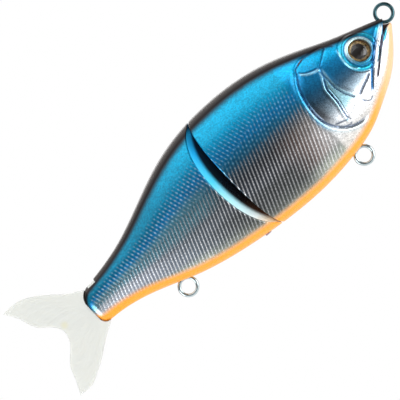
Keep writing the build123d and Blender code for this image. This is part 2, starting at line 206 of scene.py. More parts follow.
# ---------------------------------------------------------------- joint faces, in plan
def recess_x(y):
    """Front section's rear face, a V that opens to the rear."""
    slope = math.radians(FLANK_ANGLE + SWING)
    return HINGE_X + (KNUCKLE_R + KNUCKLE_GAP) / math.sin(slope) - y / math.tan(slope)


def knuckle_x(y):
    """Rear section's front face, a round knuckle with straight flanks."""
    across = math.radians(90 - FLANK_ANGLE)
    touch_x, touch_y = HINGE_X + KNUCKLE_R * math.cos(across), KNUCKLE_R * math.sin(across)
    flank = touch_x - (y - touch_y) / math.tan(math.radians(FLANK_ANGLE))
    round_part = HINGE_X + np.sqrt(np.clip(KNUCKLE_R**2 - y**2, 0, None))
    return np.where(y > touch_y, flank, round_part)


def rim(turns, face_x):
    """x of the skin's edge where a joint face cuts it, for each turn."""
    x = np.full_like(turns, HINGE_X)
    for _ in range(60):
        x = 0.5 * x + 0.5 * face_x(skin_yz(x, turns)[0])
    return x


# ---------------------------------------------------------------- drawing on the side view
def curve_points(points, per_span=14):
    """A Catmull-Rom curve through given (x, z) points."""
    p = np.array(points, float)
    p = np.vstack([2 * p[0] - p[1], p, 2 * p[-1] - p[-2]])
    out = []
    for i in range(1, len(p) - 2):
        t = np.linspace(0, 1, per_span, endpoint=False)[:, None]
        a, b, c, d = p[i - 1:i + 3]
        out.append(0.5 * (2 * b + (c - a) * t + (2 * a - 5 * b + 4 * c - d) * t**2
                          + (3 * b - a - 3 * c + d) * t**3))
    return np.vstack([*out, p[-2:-1]])


def distance(x, z, points, closed=False):
    """Distance of each (x, z) from the curve, and where along it (0 to 1) the nearest point lies."""
    line = curve_points(points)
    if closed:
        line = np.vstack([line, line[:1]])
    best, where = np.full(x.shape, 1e9), np.zeros(x.shape)
    for i in range(len(line) - 1):
        a, d = line[i], line[i + 1] - line[i]
        t = np.clip(((x - a[0]) * d[0] + (z - a[1]) * d[1]) / max(d @ d, 1e-12), 0, 1)
        gap = np.hypot(x - a[0] - t * d[0], z - a[1] - t * d[1])
        near = gap < best
        best = np.where(near, gap, best)
        where = np.where(near, (i + t) / (len(line) - 1), where)
    return best, where


def inside(x, z, points):
    """True where (x, z) lies inside the closed curve."""
    line = curve_points(points)
    result = np.zeros(x.shape, bool)
    for (xa, za), (xb, zb) in zip(line, np.roll(line, -1, axis=0)):
        crosses = (za > z) != (zb > z)
        result ^= crosses & (x < (xb - xa) * (z - za) / (zb - za + 1e-12) + xa)
    return result


def stroke(x, z, points, width):
    """1 on the curve and 0 away from it, with ends that fade."""
    gap, where = distance(x, z, points)
    fade = ease(where, 0, 0.12) * ease(where, 1, 0.88)
    return np.exp(-(gap / width) ** 2) * fade


def drawn(x, z, lines):
    """The strongest of several strokes, each (line, width, weight), at every point."""
    return np.maximum.reduce([weight * stroke(x, z, line, width) for line, width, weight in lines])


# Head lines in the side view, (x, z).
GILL_EDGE = [(-31, 8.6), (-34, 8.6), (-38.3, 7.4), (-39.8, 5.2), (-41.8, 2.5), (-43.4, -1.1),
             (-44.4, -5.3), (-44.8, -9.6), (-44.4, -13.5), (-43, -16.6), (-40.6, -19.6), (-37, -22),
             (-33, -22.8), (-29, -22.3)]
GILL_RIDGE = [(-39.3, 8.2), (-41.2, 5.6), (-43, 3), (-44.9, -1), (-45.9, -5.3), (-46.2, -9.5), (-45.8, -13.5),
              (-44.4, -17), (-41.6, -20.4), (-37.6, -22.9), (-33, -23.9), (-29, -23.4)]
CHEEK_BACK = [(-32.2, 1.7), (-32.8, -0.9), (-34.2, -3.3), (-35.4, -5.7), (-35.6, -8.6), (-35.8, -12),
              (-36.5, -15.5), (-36.8, -18.5), (-36.2, -20.2)]
CHEEK_FRONT = [(-32.1, 1.5), (-32.8, -3), (-33, -6.9), (-32.1, -10.4), (-30.7, -13.2), (-29.6, -15.2)]
PLATE_TOP = [(-38.3, 7.5), (-34.4, 8.4), (-30.1, 7.9), (-25.9, 7), (-23.5, 5.2), (-22, 3.5)]
PLATE_FRONT = [(-24.8, 6), (-27.2, 4.6), (-29.9, 3), (-32, 1.9)]
PLATE_FOOT = [(-39.2, 5.9), (-37.1, 3.9), (-34.6, 2.7), (-32.1, 2)]
BROW = [(-22.4, 2.6), (-23.5, -0.6), (-23.9, -3.6), (-23.3, -6.6), (-21.3, -8.8)]
JAW_LINE = [(-3.4, -0.9), (-7.4, -3.2), (-10.6, -5.5), (-13.9, -8.2), (-16.8, -10.7), (-19.5, -13.3),
            (-21.9, -15.9), (-24.2, -18.6)]
UPPER_JAW = [(-1.6, -0.6), (-3.6, -1.3), (-7.7, -3.9), (-11.2, -6.5), (-14.6, -9.3), (-17.6, -12)]
JAW_END = [(-24.3, -18.7), (-25.6, -19.6), (-26.9, -19.5), (-28.3, -17.8), (-28.8, -16.2)]
CHEEK_LINE = [(-19.6, -12), (-22.6, -13.3), (-25.7, -14.4), (-28.4, -15.6)]
LIP = [(-3.1, -1.7), (-6.5, -3.9), (-9.5, -6.2), (-12.5, -8.6), (-15.8, -11.5), (-19.1, -14.6), (-22.6, -18)]
MOUTH_LINE = [(-5.6, -5), (-7.9, -6.6), (-10.9, -8.9), (-13.8, -11.4), (-16.7, -13.8), (-19.3, -15.9)]
JAW_LIP = [(-1.2, -4.75), (-3.2, -4.95), (-5.4, -5.9), (-8, -7.6)]
SMALL_PLATES = [[(-42.5, -16.9), (-40.1, -17.7), (-38, -18.6), (-36.8, -19.6)],
                [(-42, -18.4), (-40.1, -19.9), (-37.9, -20.8), (-36.6, -20.4)]]
CHEEK_BAND = CHEEK_BACK[:8] + [(-33, -17.5), (-29.6, -15.6)] + CHEEK_FRONT[4::-1]
GILL_COVER = [(-38.8, 6), (-43, 0), (-44.8, -10), (-43, -16), (-37, -22), (-29, -22), (-27, -15), (-30, -8),
              (-31, 2), (-34, 4)]


def shifted(points, across=0.0, up=0.0):
    """A line's points, moved along x and z."""
    return [(x + across, z + up) for x, z in points]


# Grooves and ridges of the head: (line, depth or height, width).
GROOVES = [(GILL_EDGE, 0.45, 0.45), (CHEEK_BACK, 0.34, 0.38), (CHEEK_FRONT, 0.2, 0.3),
           (PLATE_TOP, 0.3, 0.36), (PLATE_FRONT, 0.24, 0.32), (PLATE_FOOT, 0.22, 0.28),
           (JAW_LINE, 0.34, 0.5), (JAW_END, 0.14, 0.3), (CHEEK_LINE, 0.32, 0.4), (MOUTH_LINE, 0.36, 0.32)]
GROOVES += [(line, 0.22, 0.26) for line in SMALL_PLATES]
RIDGES = [(GILL_RIDGE, 0.42, 0.8), (shifted(CHEEK_BACK, across=-0.9), 0.3, 0.5),
          (shifted(PLATE_FOOT, up=-0.9), 0.3, 0.5), (LIP, 0.18, 0.7), (JAW_LIP, 0.2, 0.5), (BROW, 0.3, 0.4)]
COVER_RISE, BAND_RISE = 0.32, 0.28


def head_relief(x, z):
    """Height in millimetres of the head's sculpting, and how deep in a groove each point is."""
    height, dark = np.zeros(x.shape), np.zeros(x.shape)
    for line, depth, width in GROOVES:
        mark = stroke(x, z, line, width)
        height -= depth * mark
        dark = np.maximum(dark, mark)
    for line, rise, width in RIDGES:
        height += rise * stroke(x, z, line, width)
    cover = inside(x, z, GILL_COVER)
    edge = distance(x, z, GILL_COVER, closed=True)[0]
    height += np.where(cover, COVER_RISE * ease(edge, 0, 2.2), 0)
    return height + BAND_RISE * band_mask(x, z), dark


def band_mask(x, z):
    """1 on the raised band between the cheek and the gill cover."""
    edge = distance(x, z, CHEEK_BAND, closed=True)[0]
    return np.where(inside(x, z, CHEEK_BAND), ease(edge, 0, 0.8), 0)


def orbit_relief(radius):
    """Height of the raised rings round the eye, at a distance from its centre."""
    ring = 0.42 * np.exp(-((radius - 4.85) / 0.6) ** 2) + 0.3 * np.exp(-((radius - 6.8) / 0.65) ** 2)
    inner = -0.12 * np.exp(-((radius - 4.3) / 0.2) ** 2)
    outer = -0.22 * np.exp(-((radius - 5.85) / 0.3) ** 2) - 0.26 * np.exp(-((radius - 7.8) / 0.35) ** 2)
    return ring + inner + outer


def hatch(x, z, share):
    """(line mask, strength) of the herringbone engraving behind the gill cover."""
    pitch = np.where(x < HINGE_X, *HATCH_PITCH)
    spine = np.interp(x, *np.array(HATCH_SPINE).T)
    over = ease(z - spine, -0.9, 0.9)
    solid, dotted = 0, ease(z, HATCH_BASE_Z - 1.5, HATCH_BASE_Z + 2.0)
    for slope, weight in zip(HATCH_SLOPES, (over, 1 - over)):
        phase = (x - slope * (z - HATCH_BASE_Z)) / pitch
        row = DOT_STAGGER * (np.floor(phase) % 2)
        dash = 0.82 + 0.18 * np.cos(2 * math.pi * z / DASH_PITCH + row)
        dot = 0.15 + 0.85 * (0.5 + 0.5 * np.cos(2 * math.pi * z / DOT_PITCH + row)) ** 2
        line = np.exp(-(((phase % 1) - 0.5) / LINE_SHARE) ** 2)
        solid = solid + weight * line * ((1 - dotted) * dash + dotted * dot)
    gill = ease(x, GILL_X + 0.6, GILL_X - 0.8) * ease(x, -151.2, -148.5)
    upper = ease(share, 0.81, 0.65)
    lower = ease(share, 0.05, 0.12)
    return solid, gill * np.where(z > HATCH_BASE_Z, upper, lower)


# ---------------------------------------------------------------- mesh helpers
def new_object(name, verts, faces):
    """A mesh object from points in millimetres."""
    mesh = bpy.data.meshes.new(name)
    mesh.from_pydata((np.asarray(verts) * MM).tolist(), [], [list(map(int, f)) for f in faces])
    mesh.update()
    piece = bpy.data.objects.new(name, mesh)
    bpy.context.scene.collection.objects.link(piece)
    return piece


def grid_faces(rows, columns, start=0):
    """Quads of a grid of rows by columns points."""
    i, j = np.meshgrid(np.arange(rows - 1), np.arange(columns - 1), indexing="ij")
    a = start + (i * columns + j).ravel()
    return np.stack([a, a + 1, a + columns + 1, a + columns], axis=1)


def grid_normals(points):
    """Unit normals of a grid of points (rows, columns, 3), pointing out of the right side."""
    along, across = np.gradient(points, axis=0), np.gradient(points, axis=1)
    normal = np.cross(along, across)
    normal /= np.linalg.norm(normal, axis=2, keepdims=True) + 1e-12
    middle = normal[normal.shape[0] // 2, normal.shape[1] // 2]
    return normal if middle[1] < 0 else -normal


def cut(piece, cutters):
    """Subtracts closed meshes from a piece and removes them."""
    for cutter in cutters:
        modifier = piece.modifiers.new("cut", "BOOLEAN")
        modifier.operation = "DIFFERENCE"
        modifier.solver = "EXACT"
        modifier.object = cutter
    graph = bpy.context.evaluated_depsgraph_get()
    mesh = bpy.data.meshes.new_from_object(piece.evaluated_get(graph))
    piece.modifiers.clear()
    piece.data = mesh
    for cutter in cutters:
        bpy.data.objects.remove(cutter)


def prism(name, outline, low, high, across="y"):
    """A closed prism on an (x, z) outline between two y values, or on (x, y) between two z values."""
    n = len(outline)
    order = (lambda a, b, c: (a, c, b)) if across == "y" else (lambda a, b, c: (a, b, c))
    verts = [order(a, b, level) for level in (low, high) for a, b in outline]
    faces = [list(range(n)), list(range(2 * n - 1, n - 1, -1))]
    faces += [[(i + 1) % n, i, n + i, n + (i + 1) % n] for i in range(n)]
    piece = new_object(name, verts, faces)
    work = bmesh.new()
    work.from_mesh(piece.data)
    bmesh.ops.recalc_face_normals(work, faces=work.faces)
    work.to_mesh(piece.data)
    work.free()
    return piece


def close_up(piece, weld):
    """Joins points closer than weld, in metres, and closes the mesh with a face across each open loop."""
    work = bmesh.new()
    work.from_mesh(piece.data)
    bmesh.ops.remove_doubles(work, verts=work.verts, dist=weld)
    bmesh.ops.holes_fill(work, edges=[e for e in work.edges if e.is_boundary], sides=0)
    bmesh.ops.recalc_face_normals(work, faces=work.faces)
    work.to_mesh(piece.data)
    work.free()


def paint_attributes(piece):
    """Stores what the paint depends on at each point: place on the fish, engraving and grooves."""
    co = np.zeros(len(piece.data.vertices) * 3)
    piece.data.vertices.foreach_get("co", co)
    x, y, z = co.reshape(-1, 3).T / MM
    top, bottom, _, _ = section(x)
    share = np.clip((z - bottom) / (top - bottom), 0, 1)
    line, strength = hatch(x, z, share)
    above = ease(z, HATCH_BASE_Z - 0.8, HATCH_BASE_Z + 1.2)
    depth = np.nan_to_num(side_y(x, z)) - np.abs(y)
    band_width = BACK_BAND + BACK_BAND_GROWTH * (top - bottom)
    centre, up, along, _ = (np.array(v) for v in eye_frame())
    offset = np.stack([x, -np.abs(y), z], axis=1) - centre
    eye = np.hypot(offset @ along, offset @ up)
    head = ease(x, GILL_X + 0.2, GILL_X + 2.2)
    values = {"share": share, "from_back": (top - z) / band_width, "from_belly": z - bottom,
              "along": (x - HULL_END_X) / (NOSE_X - HULL_END_X), "line": line * strength, "above": above,
              "depth": depth, "head": head}
    if x.max() > GILL_X:
        values["groove"] = head_relief(x, z)[1]
        values["band"] = band_mask(x, z)
        values["gill_ridge"] = stroke(x, z, GILL_RIDGE, 0.85)
        across, up_down = (x - SHADE_PLACE[0]) / SHADE_SIZE[0], (z - SHADE_PLACE[1]) / SHADE_SIZE[1]
        values["shade"] = np.exp(-across**2 - up_down**2)
        values["eye"] = np.where(head > 0.5, eye, FAR_FROM_EYE)
        values["jaw"] = drawn(x, z, [(JAW_LINE, 0.7, 1), (UPPER_JAW, 0.85, 1), (JAW_LIP, 0.4, 1)])
        values["lip_line"] = stroke(x, z, LIP, 0.55)
        values["seam"] = stroke(x, z, MOUTH_LINE, 0.42)
        values["glint"] = drawn(x, z, [(BROW, 0.32, 1), (shifted(PLATE_FOOT, up=-0.8), 0.4, 1),
                                       (shifted(CHEEK_BACK, across=-0.8), 0.35, 0.8),
                                       (shifted(CHEEK_FRONT, across=0.5), 0.35, 0.7)])
    else:
        values["eye"] = np.full(x.shape, float(FAR_FROM_EYE))
    for name, value in values.items():
        layer = piece.data.attributes.new(name, "FLOAT", "POINT")
        layer.data.foreach_set("value", np.asarray(value, np.float32))


def smooth_shading(piece, degrees=38):
    """Shades smooth, and keeps edges that turn by more than degrees sharp."""
    piece.data.shade_smooth()
    piece.data.set_sharp_from_angle(angle=math.radians(degrees))


def mirrored(piece, name):
    """The left half: the right half's mesh, mirrored on the middle plane."""
    mesh = piece.data.copy()
    mesh.transform(Matrix.Scale(-1, 4, (0, 1, 0)))
    mesh.flip_normals()
    twin = bpy.data.objects.new(name, mesh)
    bpy.context.scene.collection.objects.link(twin)
    return twin


# ---------------------------------------------------------------- eye placing
def eye_frame():
    """(centre, up, along, out) of the right eye on the skin, in millimetres."""
    step = 0.5
    slope_x = (side_y(PUPIL_X + step, PUPIL_Z) - side_y(PUPIL_X - step, PUPIL_Z)) / (2 * step)
    slope_z = (side_y(PUPIL_X, PUPIL_Z + step) - side_y(PUPIL_X, PUPIL_Z - step)) / (2 * step)
    out = Vector((-slope_x, -1, -slope_z)).normalized()
    centre = Vector((PUPIL_X, -side_y(PUPIL_X, PUPIL_Z), PUPIL_Z))
    up = (Vector((0, 0, 1)) - out * out.z).normalized()
    return centre, up, up.cross(out), out


def seat_eye(points):
    """Sinks the eye's round socket into the skin and raises the rings round it."""
    centre, up, along, out = (np.array(v) for v in eye_frame())
    offset = points - centre
    a, b, n = offset @ along, offset @ up, offset @ out
    radius = np.hypot(a, b)
    reach = np.clip(radius, 1e-6, None)
    near = (n > -4) & (radius < ORBIT_R)
    socket = near & (radius < IRIS_R + 0.14)
    lip = near & ~socket & (radius < IRIS_R + 0.42)
    target = np.where(socket & (radius > IRIS_R - 0.12), SOCKET_FOOT_R, radius)
    target = np.where(lip, SOCKET_MOUTH_R, target)
    depth = np.where(socket, -SOCKET_DEPTH, n + np.where(near, orbit_relief(radius), 0))
    moved = (centre + (a * target / reach)[..., None] * along + (b * target / reach)[..., None] * up
             + depth[..., None] * out)
    return np.where(near[..., None], moved, points)


# ---------------------------------------------------------------- shells
def half_shell(name, turns, face_x, x_far, count, at_rear, relief=None):
    """The right half of one section: skin, joint face, far end and middle plane."""
    rim_x = rim(turns, face_x)
    steps = np.concatenate([RIM_STEPS, np.linspace(SKIN_START, abs(x_far - HINGE_X), count)])
    share = steps / steps[-1]
    x = rim_x[None, :] + (x_far - rim_x[None, :]) * share[:, None]
    y, z = skin_yz(x, np.broadcast_to(turns[None, :], x.shape))
    points = np.stack([x, -y, z], axis=2)
    normal = grid_normals(points)
    height = np.zeros(x.shape)
    if relief is not None:
        height += relief(x, z)
    top, bottom, _, _ = section(x)
    line, strength = hatch(x, z, np.clip((z - bottom) / (top - bottom), 0, 1))
    height += HATCH_HEIGHT * line * strength
    gap = np.abs(x - rim_x[None, :])
    height -= RIM_ROUND - np.sqrt(RIM_ROUND**2 - np.clip(RIM_ROUND - gap, 0, RIM_ROUND) ** 2)
    points = points + normal * (height * ease(y, 0.0, 0.9))[..., None]
    if not at_rear:
        points = seat_eye(points)
    points[:, (0, -1), 1] = 0
    points[..., 1] = np.minimum(points[..., 1], 0)
    edge = points[0]
    inner = []
    for k in np.linspace(1, 0, FACE_ROWS)[1:]:
        y_in = -edge[:, 1] * k
        shift = edge[:, 0] - face_x(-edge[:, 1])
        inner.append(np.stack([face_x(y_in) + shift * k, -y_in, edge[:, 2]], axis=1))
    joint = np.vstack([edge[None], np.array(inner)])
    caps = [points[-1] * np.array([1, k, 1]) for k in np.linspace(1, 0, CAP_ROWS)]
    verts = [points.reshape(-1, 3), joint.reshape(-1, 3), np.array(caps).reshape(-1, 3)]
    faces, start = [], 0
    for block, shape in zip(verts, (points.shape, joint.shape, (CAP_ROWS, len(turns), 3))):
        faces.append(grid_faces(shape[0], shape[1], start))
        start += len(block)
    piece = new_object(name, np.vstack(verts), np.vstack(faces))
    close_up(piece, SHELL_WELD)
    return piece


def slot_cutters():
    """Level slots in the knuckle for the two joint eyes, fanned out for the swing."""
    sweep = math.radians(SWING + SLOT_SPARE)
    back_arc = [(HINGE_X + SLOT_R * math.cos(t), SLOT_R * math.sin(t))
                for t in np.linspace(math.radians(100), math.radians(260), 24)]
    mouth_x, mouth_y = SLOT_REACH * math.cos(sweep), SLOT_REACH * math.sin(sweep) + 0.7
    outline = back_arc + [(HINGE_X + mouth_x, -mouth_y), (HINGE_X + mouth_x, mouth_y)]
    return [prism(f"slot_{i}", outline, z - SLOT_HALF, z + SLOT_HALF, across="z")
            for i, z in enumerate(JOINT_EYE_ZS)]


def front_halves():
    """The front section's two painted halves."""
    right = half_shell("front_casing_right", even_turns(FRONT_TURNS), recess_x, NOSE_X, FRONT_ROWS,
                       at_rear=False, relief=lambda x, z: head_relief(x, z)[0])
    turns_of_ring = np.linspace(0, 2 * math.pi, 65)[:-1]
    ring_room = [(RING_ROOM_R * math.cos(t), RING_ROOM_R * math.sin(t)) for t in turns_of_ring]
    mouth_cutter = prism("mouth", MOUTH, -CUTTER_REACH, -MOUTH_WEB)
    cut(right, [mouth_cutter, prism("ring_room", ring_room, -RING_ROOM_HALF, CUTTER_REACH)])
    paint_attributes(right)
    smooth_shading(right)
    return right, mirrored(right, "front_casing_left")


def rear_halves():
    """The rear section's two painted halves."""
    right = half_shell("rear_casing_right", even_turns(REAR_TURNS), knuckle_x, HULL_END_X, REAR_ROWS,
                       at_rear=True)
    nub_rear, nub_front, _ = NUB
    notch = [(nub_rear, NUB_HEAD_Z), (nub_front, NUB_HEAD_Z), (nub_front, NOTCH_TOP), (nub_rear, NOTCH_TOP)]
    cut(right, [*slot_cutters(), prism("notch", notch, -CUTTER_REACH, CUTTER_REACH)])
    paint_attributes(right)
    smooth_shading(right)
    return right, mirrored(right, "rear_casing_left")


# ---------------------------------------------------------------- soft tail
def resample(points, shares):
    """Points at the given shares (0 to 1) of a curve's length."""
    line = curve_points(points, 30)
    run = np.concatenate([[0], np.cumsum(np.hypot(*np.diff(line, axis=0).T))])
    want = run[-1] * shares
    return np.stack([np.interp(want, run, line[:, 0]), np.interp(want, run, line[:, 1])], axis=1)


def hull_end_block():
    """A block with the outline of the hull's rounded end, that the fin's root is shaped round."""
    xs = HULL_END_X + np.linspace(0, 4.6, 40)
    top, bottom, _, _ = section(xs)
    upper = [(x, z + BLOCK_SPARE) for x, z in zip(xs, top)]
    lower = [(x, z - BLOCK_SPARE) for x, z in zip(xs, bottom)]
    nose = [(HULL_END_X - BLOCK_SPARE, lower[0][1]), (HULL_END_X - BLOCK_SPARE, upper[0][1])]
    return prism("hull_end", nose + upper + lower[::-1], -6, 6)


def crowded(count, both_ends):
    """Shares from 0 to 1 that crowd towards 1, or towards both ends, where the fin's rim is rounded."""
    even = np.linspace(0, 1, count)
    if both_ends:
        return even - 0.8 * np.sin(2 * math.pi * even) / (2 * math.pi)
    return 0.25 * even + 0.75 * np.sin(even * math.pi / 2)


def fin_half_thickness(x, u, v):
    """Half-thickness of the fin: thick at the root, with fine rays and a rounded rim."""
    (root_x, root_half), (edge_x, edge_half) = FIN_HALF
    half = np.interp(x, [edge_x, root_x], [edge_half, root_half])
    ray = np.cos(v * 2 * math.pi * 13) + 0.5 * np.cos(v * 2 * math.pi * 31)
    half = half + RAY_HEIGHT * ray * ease(u, 0.15, 0.6) * ease(u, 1.0, 0.9)
    rim_share = np.minimum(np.minimum(v, 1 - v) / 0.035, (1 - u) / 0.03)
    return half * np.sqrt(1 - (1 - np.clip(rim_share, 0, 1)) ** 2)


def fin():
    """The fin as a patch between its four edges, with u from root to trailing edge and v from foot to top."""
    u, v = crowded(FIN_STEPS, both_ends=False), crowded(FIN_RAYS, both_ends=True)
    upper, lower = resample(FIN_UPPER, u), resample(FIN_LOWER[::-1], u)
    trailing = resample(FIN_BACK[::-1], v)
    root = lower[0] + v[:, None] * (upper[0] - lower[0])
    u, v = u[:, None, None], v[None, :, None]
    corners = ((1 - u) * (1 - v) * root[0] + (1 - u) * v * root[-1]
               + u * (1 - v) * trailing[0] + u * v * trailing[-1])
    between_ends = (1 - u) * root[None] + u * trailing[None]
    patch = between_ends + (1 - v) * lower[:, None] + v * upper[:, None] - corners
    x, z = patch[..., 0], patch[..., 1]
    half = fin_half_thickness(x, u[..., 0] + 0 * x, v[..., 0] + 0 * x)
    sides = [np.stack([x, side * half, z], axis=2).reshape(-1, 3) for side in (-1, 1)]
    near = grid_faces(FIN_STEPS, FIN_RAYS)
    far = grid_faces(FIN_STEPS, FIN_RAYS, FIN_STEPS * FIN_RAYS)[:, ::-1]
    piece = new_object("soft_tail", np.vstack(sides), np.vstack([near, far]))
    close_up(piece, FIN_WELD)
    return piece


def nub():
    """The lump on the tail's tongue that fills the notch in the hull's back."""
    rows = []
    for nub_x in np.linspace(NUB[0] + NUB_FIT, NUB[1] - NUB_FIT, NUB_SLICES):
        hull_top = section(np.array([nub_x]))[0][0] - NUB_FIT
        levels = np.linspace(NUB_HEAD_Z - 0.6, min(NUB[2], hull_top), NUB_LEVELS)
        reach = side_y(np.full(NUB_LEVELS, nub_x), np.maximum(levels, NUB_HEAD_Z + NUB_FIT)) - NUB_FIT
        reach[-1] = min(reach[-1], 0.5)
        near = [(nub_x, -y, z) for y, z in zip(reach, levels)]
        far = [(nub_x, y, z) for y, z in zip(reach[::-1], levels[::-1])]
        rows.append(near + far)
    count = len(rows[0])
    faces = [list(range(count)), list(range(NUB_SLICES * count - 1, (NUB_SLICES - 1) * count - 1, -1))]
    for i in range(NUB_SLICES - 1):
        for j in range(count):
            here, beside = i * count + j, i * count + (j + 1) % count
            faces.append([here, beside, beside + count, here + count])
    return new_object("nub", np.array(rows).reshape(-1, 3), faces)


def soft_tail():
    """The silicone tail: the fin, shaped round the hull's end, and the nub."""
    piece = fin()
    cut(piece, [hull_end_block()])
    lump = nub()
    work = bmesh.new()
    work.from_mesh(piece.data)
    work.from_mesh(lump.data)
    bpy.data.objects.remove(lump)
    bmesh.ops.recalc_face_normals(work, faces=work.faces)
    work.to_mesh(piece.data)
    work.free()
    smooth_shading(piece, FIN_SHARP_ANGLE)
    return piece


# ---------------------------------------------------------------- materials
def fill_ramp(node, stops):
    """Gives a colour ramp its stops, each (position, colour)."""
    points = node.color_ramp.elements
    while len(points) < len(stops):
        points.new(0.5)
    for point, (at, colour) in zip(points, stops):
        point.position = at
        point.color = (*colour, 1)


class Nodes:
    """A short way to build a node tree."""

    def __init__(self, name):
        self.material = bpy.data.materials.new(name)
        self.material.use_nodes = True
        self.tree = self.material.node_tree
        self.shader = self.tree.nodes["Principled BSDF"]

    def add(self, kind, inputs=None, **settings):
        node = self.tree.nodes.new(kind)
        for key, value in settings.items():
            setattr(node, key, value)
        for key, value in (inputs or {}).items():
            self.put(node, key, value)
        return node

    def put(self, node, key, value):
        if isinstance(value, bpy.types.NodeSocket):
            self.tree.links.new(value, node.inputs[key])
        else:
            node.inputs[key].default_value = value

    def set(self, **values):
        """Sets the shader's sockets, with underscores for the spaces in their names."""
        for key, value in values.items():
            self.put(self.shader, key.replace("_", " "), value)

    def attribute(self, name):
        return self.add("ShaderNodeAttribute", attribute_name=name).outputs["Fac"]

    def place(self):
        return self.add("ShaderNodeTexCoord").outputs["Object"]

    def maths(self, operation, a, b=0.0):
        return self.add("ShaderNodeMath", {0: a, 1: b}, operation=operation).outputs[0]

    def times(self, a, b):
        return self.maths("MULTIPLY", a, b)

    def plus(self, a, b):
        return self.maths("ADD", a, b)

    def step(self, value, low, high):
        """0 at low, 1 at high, smooth between."""
        inputs = {"Value": value, "From Min": low, "From Max": high}
        return self.add("ShaderNodeMapRange", inputs, interpolation_type="SMOOTHSTEP").outputs["Result"]

    def noise(self, scale, detail=3.0):
        inputs = {"Vector": self.place(), "Scale": scale, "Detail": detail}
        return self.add("ShaderNodeTexNoise", inputs).outputs["Fac"]

    def ramp(self, value, stops):
        node = self.add("ShaderNodeValToRGB", {"Fac": value})
        fill_ramp(node, stops)
        return node.outputs["Color"]

    def mix(self, share, a, b):
        node = self.add("ShaderNodeMix", data_type="RGBA")
        for socket, value in ((node.inputs[0], share), (node.inputs[6], a), (node.inputs[7], b)):
            if isinstance(value, bpy.types.NodeSocket):
                self.tree.links.new(value, socket)
            else:
                socket.default_value = (*value, 1) if isinstance(value, tuple) else value
        return node.outputs[2]

    def tint(self, colour, factor):
        """The colour times a factor."""
        return self.add("ShaderNodeVectorMath", {0: colour, 3: factor}, operation="SCALE").outputs["Vector"]

    def bump(self, height, strength, distance=0.0001):
        inputs = {"Height": height, "Strength": strength, "Distance": distance}
        self.set(Normal=self.add("ShaderNodeBump", inputs).outputs["Normal"])


def flank_paint(n, along, at):
    """Silver side under a blue flank, behind the gill cover, and the mask of the painted dark reflection on
    the lower side.
    """
    # The silver along the body is partly the foil's own grey and partly painted reflection: its dark and
    # brownish stretches stand for the dim room mirrored in the foil.
    silver = n.ramp(along, [(0.02, (0.45, 0.5, 0.56)), (0.15, (0.22, 0.25, 0.3)), (0.28, (0.11, 0.14, 0.17)),
                            (0.4, (0.07, 0.085, 0.1)), (0.46, (0.035, 0.045, 0.06)),
                            (0.57, (0.035, 0.037, 0.045)), (0.635, (0.13, 0.095, 0.085)),
                            (0.67, (0.24, 0.21, 0.2)), (0.71, (0.4, 0.4, 0.4))])
    low_side = n.ramp(at, [(0.05, (0.62, 0.63, 0.52)), (0.14, (0.22, 0.26, 0.23))])
    side = n.mix(n.step(at, 0.1, 0.2), low_side, silver)
    # Painted dark reflection: the lower side is darkened in mid-body, standing for the dim room mirrored in
    # the foil.
    painted_dark_reflection = n.times(n.times(n.step(along, 0.25, 0.45), n.step(along, 0.67, 0.57)),
                   n.times(n.step(at, 0.02, 0.11), n.step(at, 0.34, 0.24)))
    side = n.mix(n.times(painted_dark_reflection, 0.84), side, (0.026, 0.03, 0.03))
    blue = n.ramp(at, [(0.42, (0.06, 0.13, 0.18)), (0.5, (0.035, 0.14, 0.24)), (0.58, (0.013, 0.19, 0.39)),
                       (0.66, (0.003, 0.24, 0.58)), (0.73, (0.003, 0.38, 0.73)), (0.8, (0.004, 0.44, 0.75)),
                       (0.94, (0.004, 0.38, 0.62))])
    # Painted shade: the upper blue is darkened, and more so towards the tail, where the overhead light would
    # fall off.
    painted_rearward_shade = n.plus(n.times(n.step(along, 0.55, 0.2), 0.3), 0.3)
    blue = n.tint(blue, n.maths("SUBTRACT", 1.0, n.times(n.step(at, 0.6, 0.74), painted_rearward_shade)))
    flank = n.mix(n.step(at, 0.42, 0.57), side, blue)
    haze = n.times(n.step(along, 0.44, 0.36), n.times(n.step(at, 0.36, 0.48), n.step(at, 0.66, 0.56)))
    return n.mix(n.times(haze, 0.72), flank, (0.14, 0.4, 0.52)), painted_dark_reflection


def cheek_paint(n, at):
    """Blue crown and chromed cheek, ahead of the gill cover's edge."""
    return n.ramp(at, [(0.0, (0.74, 0.67, 0.58)), (0.3, (0.76, 0.8, 0.84)), (0.4, (0.26, 0.34, 0.4)),
                       (0.5, (0.06, 0.13, 0.2)), (0.62, (0.012, 0.15, 0.32)), (0.74, (0.005, 0.23, 0.5)),
                       (0.84, (0.004, 0.42, 0.76)), (0.95, (0.004, 0.34, 0.62))])


def plate_marks(n, colour, share):
    """Adds the cheek band, painted shade in the hollow of the gill cover and a painted highlight along its
    ridge.
    """
    band = n.times(n.attribute("band"), n.step(share, 0.25, 0.38))
    colour = n.mix(n.times(band, 0.8), colour, (0.26, 0.52, 0.6))
    colour = n.mix(n.times(n.attribute("shade"), 0.7), colour, (0.035, 0.022, 0.02))
    # Painted highlight along the gill cover's raised ridge, cyan above and pale below.
    ridge = n.mix(n.step(share, 0.4, 0.2), (0.03, 0.42, 0.74), (0.7, 0.85, 0.9))
    return n.mix(n.times(n.attribute("gill_ridge"), 0.6), colour, ridge)


